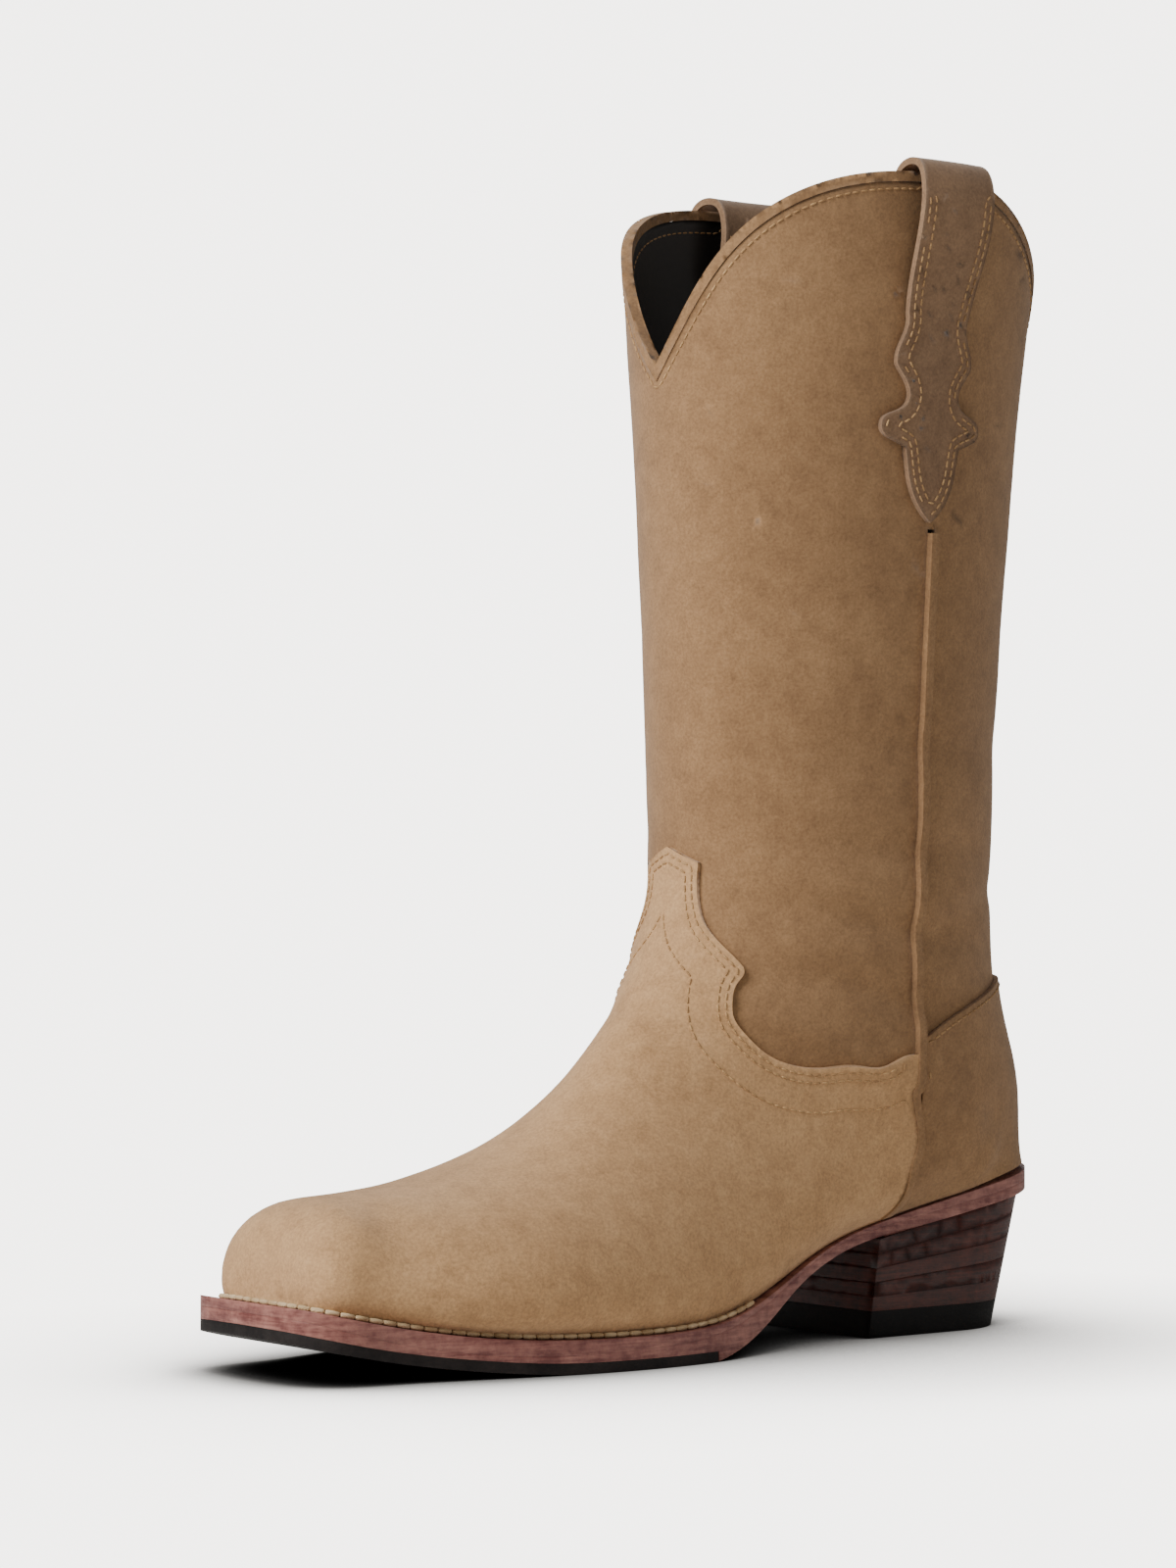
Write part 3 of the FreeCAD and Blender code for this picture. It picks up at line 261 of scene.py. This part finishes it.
# ---------------------------------------------------------------- light and floor
# The camera sees a bright paper backdrop; the boot itself is lit by a dimmer room and three lamps.
PAPER = linear(239, 236, 232)
PAPER_GLOW = 5.6
ROOM_GLOW = 0.24
world = bpy.data.worlds.new("studio")
bpy.context.scene.world = world
world.use_nodes = True
studio = world.node_tree
room = studio.nodes["Background"]
room.inputs["Color"].default_value = PAPER
room.inputs["Strength"].default_value = ROOM_GLOW
backdrop = studio.nodes.new("ShaderNodeBackground")
backdrop.inputs["Color"].default_value = PAPER
backdrop.inputs["Strength"].default_value = PAPER_GLOW
choice = studio.nodes.new("ShaderNodeMixShader")
studio.links.new(studio.nodes.new("ShaderNodeLightPath").outputs["Is Camera Ray"], choice.inputs[0])
studio.links.new(room.outputs[0], choice.inputs[1])
studio.links.new(backdrop.outputs[0], choice.inputs[2])
studio.links.new(choice.outputs[0], studio.nodes["World Output"].inputs["Surface"])


def soft_light(name, place, aim, size, power):
    lamp = bpy.data.objects.new(name, bpy.data.lights.new(name, "AREA"))
    lamp.data.size = size
    lamp.data.energy = power
    lamp.location = place
    lamp.rotation_euler = (Vector(aim) - Vector(place)).to_track_quat("-Z", "Y").to_euler()
    bpy.context.scene.collection.objects.link(lamp)


soft_light("key", (-1.9, 0.05, 1.5), (0, 0, 0.15), 1.1, 70)
soft_light("fill", (1.2, -1.7, 0.9), (0, 0, 0.15), 1.6, 4)
soft_light("back", (0.9, 1.6, 1.6), (0, 0, 0.2), 1.2, 14)


FLOOR_REACH = 6
# Reach and steepness of the painted contact shadow on the floor.
PAINTED_SHADOW_REACH = 0.16
PAINTED_SHADOW_DEPTH = 4.0


def floor_paper():
    """Paper as bright as the backdrop, its glow dimmed by ambient occlusion where the boot stands close
    over it: a painted contact shadow.
    """
    s = Shader("floor_paper")
    s.shader.inputs["Base Color"].default_value = PAPER
    s.shader.inputs["Roughness"].default_value = 0.95
    # Painted contact shadow: the paper's glow is dimmed by ambient occlusion near the boot, not by the
    # lamps.
    near = s.node("ShaderNodeAmbientOcclusion", samples=16)
    near.inputs["Distance"].default_value = PAINTED_SHADOW_REACH
    shade = s.node("ShaderNodeMath", operation="POWER")
    shade.inputs[1].default_value = PAINTED_SHADOW_DEPTH
    s.link(near.outputs["AO"], shade.inputs[0])
    glow_with_painted_shadow = s.node("ShaderNodeMath", operation="MULTIPLY")
    glow_with_painted_shadow.inputs[1].default_value = PAPER_GLOW
    s.link(shade.outputs[0], glow_with_painted_shadow.inputs[0])
    paper = s.node("ShaderNodeEmission")
    paper.inputs["Color"].default_value = PAPER
    s.link(glow_with_painted_shadow.outputs[0], paper.inputs["Strength"])
    choice = s.node("ShaderNodeMixShader")
    s.link(s.node("ShaderNodeLightPath").outputs["Is Camera Ray"], choice.inputs[0])
    s.link(s.shader.outputs[0], choice.inputs[1])
    s.link(paper.outputs[0], choice.inputs[2])
    s.link(choice.outputs[0], s.tree.nodes["Material Output"].inputs["Surface"])
    return s.material


def pale_floor():
    corners = [(x * FLOOR_REACH, y * FLOOR_REACH, 0) for x, y in ((-1, -1), (1, -1), (1, 1), (-1, 1))]
    mesh = bpy.data.meshes.new("floor")
    mesh.from_pydata(corners, [], [(0, 1, 2, 3)])
    mesh.materials.append(floor_paper())
    floor = bpy.data.objects.new("floor", mesh)
    bpy.context.scene.collection.objects.link(floor)


pale_floor()

# ---------------------------------------------------------------- how leather takes its set
STRAPS = ("pull_strap_outer", "pull_strap_inner")
BINDINGS = ("topline_binding_front", "topline_binding_back")
PIPINGS = ("side_piping_outer", "side_piping_inner")
UPPER = ("shaft_front_panel", "shaft_back_panel", "vamp", "heel_counter_cover", *PIPINGS, *BINDINGS,
         "shaft_lining_front", "shaft_lining_back", "vamp_lining", "vamp_interlining", "toe_box",
         "heel_stiffener", *STRAPS)
LIFTS = tuple(f"heel_lift_{number}" for number in range(1, 6))
SOLE = ("welt", "heel_rand", "outsole", "forefoot_tread", "heel_cap", *LIFTS)
# The middle line of the leg, and of the foot below the ankle.
back_low, back_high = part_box("shaft_back_panel")
top_height = back_high.z
LEG_MIDDLE = 0.5 * (back_low.x + back_high.x) - 0.037
FOOT_MIDDLE = 0.035
FOOT_BACK = 0.09
ANKLE_HEIGHT = 0.115


def share_of(value):
    return max(0.0, min(1.0, value))


def outward(p):
    """Unit vector from the middle of the leg or foot through a point of the upper."""
    low = share_of((ANKLE_HEIGHT - p.z) / 0.05)
    x = LEG_MIDDLE * (1 - low) + min(p.x, FOOT_BACK) * low
    z = p.z * (1 - low) + FOOT_MIDDLE * low
    away = p - Vector((x, 0.0, z))
    away.z *= low
    return away.normalized() if away.length > 1e-6 else Vector((0, 0, 1))


def crease(p, height, slope, front, back, width):
    """A soft fold round the ankle: 1 in its valley, 0 away from it, wavering along its way."""
    waver = noise.noise(p * 22.0) * 0.004 + noise.noise(p * 55.0) * 0.0015
    middle = height + slope * (p.x - front) + waver
    across = (p.z - middle) / width
    along = (p.x - front) / (back - front)
    if not 0.0 < along < 1.0:
        return 0.0
    return math.exp(-across * across) * math.sin(math.pi * along) ** 0.7


# Folds of the ankle: height at the front, slope, front and back ends along X, width, depth in mm.
FOLDS = ((0.118, -0.20, 0.012, 0.095, 0.0050, 1.5), (0.136, -0.14, 0.010, 0.118, 0.0060, 1.8),
         (0.158, -0.10, 0.012, 0.125, 0.0060, 1.2), (0.182, 0.05, 0.030, 0.135, 0.0080, 0.9),
         (0.102, -0.35, -0.005, 0.060, 0.0045, 1.1), (0.128, 0.25, 0.075, 0.145, 0.0050, 1.0))


def settled(p):
    """A point of the upper after wear: broad waves in the leg, folds at the ankle and the instep."""
    leg = share_of((p.z - 0.10) / 0.06)
    below_top = share_of((top_height - p.z) / 0.05)
    push = leg * below_top * 0.0009 * noise.noise(Vector((p.x * 11, p.y * 11, p.z * 7)))
    push += leg * below_top * 0.0003 * noise.noise(p * 34.0)
    side = min(1.0, abs(p.y) / 0.02)
    for height, slope, front, back, width, depth in FOLDS:
        push -= 0.001 * depth * (0.35 + 0.65 * side) * crease(p, height, slope, front, back, width)
    if p.z < 0.11:
        above_feather = share_of((p.z - 0.022) / 0.02)
        push += above_feather * 0.0007 * noise.noise(Vector((p.x * 26 + 7, p.y * 18 + 3, p.z * 18 + 1)))
    return p + outward(p) * push


# ---------------------------------------------------------------- refining the CAD leather
SHARP_ANGLE = 0.7


def sharp(edge, angle=SHARP_ANGLE):
    return len(edge.link_faces) == 2 and edge.calc_face_angle(0.0) > angle


def refined(name, longest, smoothing=5):
    """A copy of a CAD piece with an even, fine mesh whose curved faces are smoothed."""
    bm = bmesh.new()
    bm.from_mesh(frame["nodes"][name].data)
    bmesh.ops.remove_doubles(bm, verts=bm.verts, dist=1e-6)
    bmesh.ops.dissolve_degenerate(bm, edges=bm.edges, dist=1e-6)
    bmesh.ops.triangulate(bm, faces=bm.faces)
    for _ in range(8):
        long_edges = [edge for edge in bm.edges if edge.calc_length() > longest]
        if not long_edges:
            break
        bmesh.ops.subdivide_edges(bm, edges=long_edges, cuts=1)
        bmesh.ops.triangulate(bm, faces=[face for face in bm.faces if len(face.verts) > 3])
        flat_edges = [edge for edge in bm.edges if not sharp(edge, 0.25)]
        bmesh.ops.beautify_fill(bm, faces=bm.faces, edges=flat_edges)
    inner = [vert for vert in bm.verts if not any(sharp(edge) for edge in vert.link_edges)]
    for _ in range(smoothing):
        bmesh.ops.smooth_vert(bm, verts=inner, factor=0.5, use_axis_x=True, use_axis_y=True,
                              use_axis_z=True)
    return bm


def add_piece(name, mesh, material, replaced=()):
    """Put a mesh in the scene as a piece of the boot's one body."""
    mesh.shade_smooth()
    mesh.materials.append(MATERIALS[material])
    piece = bpy.data.objects.new(name, mesh)
    bpy.context.scene.collection.objects.link(piece)
    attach(piece, "root")
    if replaced:
        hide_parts(*replaced)
    return piece


def remade(name, bm):
    """The finer copy that takes the place of a CAD piece."""
    mesh = bpy.data.meshes.new("made_" + name)
    bm.to_mesh(mesh)
    bm.free()
    return add_piece("made_" + name, mesh, node_slot[name], [name])


def round_edges(piece, width, segments=2):
    """Bevel a piece's sharp edges for good."""
    bevel = piece.modifiers.new("edge", "BEVEL")
    bevel.width = width
    bevel.segments = segments
    bevel.limit_method = "ANGLE"
    bevel.angle_limit = SHARP_ANGLE
    sharp_mesh = piece.data
    evaluated = piece.evaluated_get(bpy.context.evaluated_depsgraph_get())
    piece.data = bpy.data.meshes.new_from_object(evaluated)
    piece.modifiers.clear()
    piece.data.shade_smooth()
    bpy.data.meshes.remove(sharp_mesh)


PANEL_MESH = 0.0035
FINE_MESH = 0.002
SOLE_MESH = 0.006
# Width and steps of the rounding along the edges.
CUT_ROUND = (0.0003, 2)
BINDING_ROUND = (0.0011, 3)
PIPING_ROUND = (0.0010, 3)
SOLE_ROUND = 0.0005
LIFT_ROUND = 0.0002
unrounded = {}
for name in UPPER:
    bm = refined(name, FINE_MESH if name in STRAPS + BINDINGS else PANEL_MESH)
    for vert in bm.verts:
        vert.co = settled(vert.co)
    piece = remade(name, bm)
    unrounded[name] = piece.data.copy()
    rounding = BINDING_ROUND if name in BINDINGS else PIPING_ROUND if name in PIPINGS else CUT_ROUND
    round_edges(piece, *rounding)

for name in SOLE:
    piece = remade(name, refined(name, SOLE_MESH, 0))
    round_edges(piece, LIFT_ROUND if name in LIFTS else SOLE_ROUND)


# ---------------------------------------------------------------- stitches
THREAD_SIDES = 6
# Rings along one stitch: share of its length from the middle, share of its radius.
THREAD_RINGS = ((-0.5, 0.45), (-0.42, 0.85), (0.0, 1.0), (0.42, 0.85), (0.5, 0.45))


def capsule():
    """One stitch of unit length along X and unit radius: its points and its faces."""
    points = []
    for x, radius in THREAD_RINGS:
        for side in range(THREAD_SIDES):
            turn = 2 * math.pi * side / THREAD_SIDES
            points.append((x, radius * math.cos(turn), radius * math.sin(turn)))
    faces = []
    for ring in range(0, len(points) - THREAD_SIDES, THREAD_SIDES):
        for side in range(THREAD_SIDES):
            beside = (side + 1) % THREAD_SIDES
            faces.append((ring + side, ring + beside, ring + THREAD_SIDES + beside,
                          ring + THREAD_SIDES + side))
    faces.append(tuple(range(THREAD_SIDES))[::-1])
    faces.append(tuple(range(len(points) - THREAD_SIDES, len(points))))
    return np.array(points), faces


THREAD_POINTS, THREAD_FACES = capsule()


def sew(name, spots, length, radius, material, replaced=()):
    """One mesh of stitches; each spot is a place, the way the row runs and the way out."""
    points, faces = [], []
    for place, along, out in spots:
        across = out.cross(along).normalized()
        out = along.cross(across)
        axes = np.array([along * length, across * radius, out * radius])
        first = len(points) * len(THREAD_POINTS)
        faces += [tuple(first + corner for corner in face) for face in THREAD_FACES]
        points.append(THREAD_POINTS @ axes + np.array(place))
    mesh = bpy.data.meshes.new(name)
    mesh.from_pydata(np.concatenate(points).tolist(), [], faces)
    add_piece(name, mesh, material, replaced)


def spread(start, joined):
    """The faces that can be reached from one face over the edges that join them."""
    sheet, waiting = {start}, [start]
    while waiting:
        for edge in waiting.pop().edges:
            fresh = [face for face in edge.link_faces if face not in sheet and joined(edge, face)]
            sheet.update(fresh)
            waiting += fresh
    return sheet


def sheets_of(faces, joined):
    """The given faces in groups, each one joined up within itself."""
    groups, seen = [], set()
    for face in faces:
        if face not in seen:
            groups.append(spread(face, joined))
            seen |= groups[-1]
    return groups


def outer_sheet(bm, side):
    """All faces of a leather piece's outer side, or with side -1 of its inner side."""
    def facing(sheet):
        return side * sum(face.calc_area() * face.normal.dot(outward(face.calc_center_median()))
                          for face in sheet)

    smooth = max(sheets_of(bm.faces, lambda edge, face: not sharp(edge, 0.6)), key=facing)
    others = [face for face in bm.faces if face not in smooth]
    rest = max(sheets_of(others, lambda edge, face: face not in smooth), key=len)
    return {face for face in bm.faces if face not in rest}


def rim_tree(bm, outer, wanted, spacing=0.0005):
    """Finds the nearest point on the wanted part of the outer side's edge."""
    rim = []
    for edge in bm.edges:
        if len(edge.link_faces) == 2 and sum(face in outer for face in edge.link_faces) == 1:
            a, b = edge.verts[0].co, edge.verts[1].co
            steps = max(1, int((b - a).length / spacing))
            spaced = [a.lerp(b, step / steps) for step in range(steps)]
            rim += [point for point in spaced if wanted(point)]
    tree = KDTree(len(rim))
    for number, point in enumerate(rim):
        tree.insert(point, number)
    tree.balance()
    return tree


def rows_beside_edge(mesh, distance, wanted, side=1):
    """Chains of places on a piece's outer side at a distance from the wanted part of its edge."""
    bm = bmesh.new()
    bm.from_mesh(mesh)
    outer = outer_sheet(bm, side)
    faces = [face for face in bm.faces if face in outer]
    tree = rim_tree(bm, outer, wanted)
    away = {vert: tree.find(vert.co)[2] - distance for face in faces for vert in face.verts}
    places, links = {}, {}
    for face in faces:
        crossed = []
        for edge in face.edges:
            a, b = edge.verts
            if (away[a] < 0) != (away[b] < 0):
                point = a.co.lerp(b.co, away[a] / (away[a] - away[b]))
                places[edge] = (point, face.normal * side)
                crossed.append(edge)
        if len(crossed) == 2:
            links.setdefault(crossed[0], []).append(crossed[1])
            links.setdefault(crossed[1], []).append(crossed[0])
    chains, used = [], set()
    for start in sorted(links, key=lambda edge: len(links[edge])):
        if start in used:
            continue
        chain, here = [], start
        while here is not None:
            used.add(here)
            chain.append(places[here])
            here = next((other for other in links[here] if other not in used), None)
        chains.append(chain)
    bm.free()
    return chains


def spots_along(chain, pitch, lift):
    """Stitch places at an even pitch along a chain of points."""
    points = [point for point, _ in chain]
    for _ in range(3):
        inner = [0.25 * a + 0.5 * b + 0.25 * c for a, b, c in zip(points, points[1:], points[2:])]
        points = [points[0]] + inner + [points[-1]]
    run = [0.0]
    for a, b in zip(points, points[1:]):
        run.append(run[-1] + (b - a).length)
    spots, number = [], 0
    for step in range(1, int(run[-1] / pitch)):
        while run[number + 1] < step * pitch:
            number += 1
        a, b = points[number], points[number + 1]
        share = (step * pitch - run[number]) / max(1e-9, run[number + 1] - run[number])
        out = chain[number][1]
        spots.append((a.lerp(b, share) + out * lift, (b - a).normalized(), out))
    return spots


UPPER_PITCH = 0.0029
UPPER_STITCH = (0.0021, 0.00034)
UPPER_LIFT = 0.0001
WELT_PITCH = 0.0044
WELT_STITCH = (0.0042, 0.00085)
WELT_LIFT = 0.0003


def stitch_rows(name, rows):
    """Rows of fine stitches, each given by its piece, distance from the edge, edge and side."""
    spots = []
    for piece, distance, wanted, side in rows:
        for chain in rows_beside_edge(unrounded[piece], distance, wanted, side):
            spots += spots_along(chain, UPPER_PITCH, UPPER_LIFT)
    sew(name, spots, *UPPER_STITCH, "thread_tan")


# The parts of the pieces' edges that are sewn, clear of the side seams and of the feather line.
def vamp_edge(p):
    return p.z > 0.065 and p.x < 0.064


def collar_front(p):
    return p.z > 0.29 and p.x < 0.066


def collar_back(p):
    return p.z > 0.295 and p.x > 0.082


def counter_top(p):
    return p.z > 0.080 and p.x > 0.077


def strap_edge(p):
    return p.z < 0.352 and abs(p.y) > 0.040


stitch_rows("vamp_stitches", [("vamp", distance, vamp_edge, 1) for distance in (0.0020, 0.0044, 0.0135)])
stitch_rows("collar_stitches", [("shaft_front_panel", 0.0022, collar_front, 1),
                                ("shaft_back_panel", 0.0022, collar_back, 1),
                                ("shaft_lining_front", 0.0040, collar_front, -1),
                                ("shaft_lining_back", 0.0040, collar_back, -1)])
stitch_rows("counter_stitches", [("heel_counter_cover", 0.0020, counter_top, 1)])
stitch_rows("strap_stitches", [(strap, distance, strap_edge, 1) for strap in STRAPS
                               for distance in (0.0019, 0.0042)])


def welt_seam():
    """The outseam: thick light stitches round the forefoot, along the path of the CAD cord."""
    middle_x = -0.03
    slices_per_radian = 40
    slices = {}
    for vert in frame["nodes"]["welt_stitching"].data.vertices:
        turn = math.atan2(vert.co.y, middle_x - vert.co.x)
        slices.setdefault(round(turn * slices_per_radian), []).append(vert.co)
    path = [sum(points, Vector()) / len(points) for _, points in sorted(slices.items())]
    chain = [(point, Vector((0, 0, 1))) for point in path]
    spots = spots_along(chain, WELT_PITCH, WELT_LIFT)
    sew("welt_stitches", spots, *WELT_STITCH, "thread", ["welt_stitching"])


welt_seam()
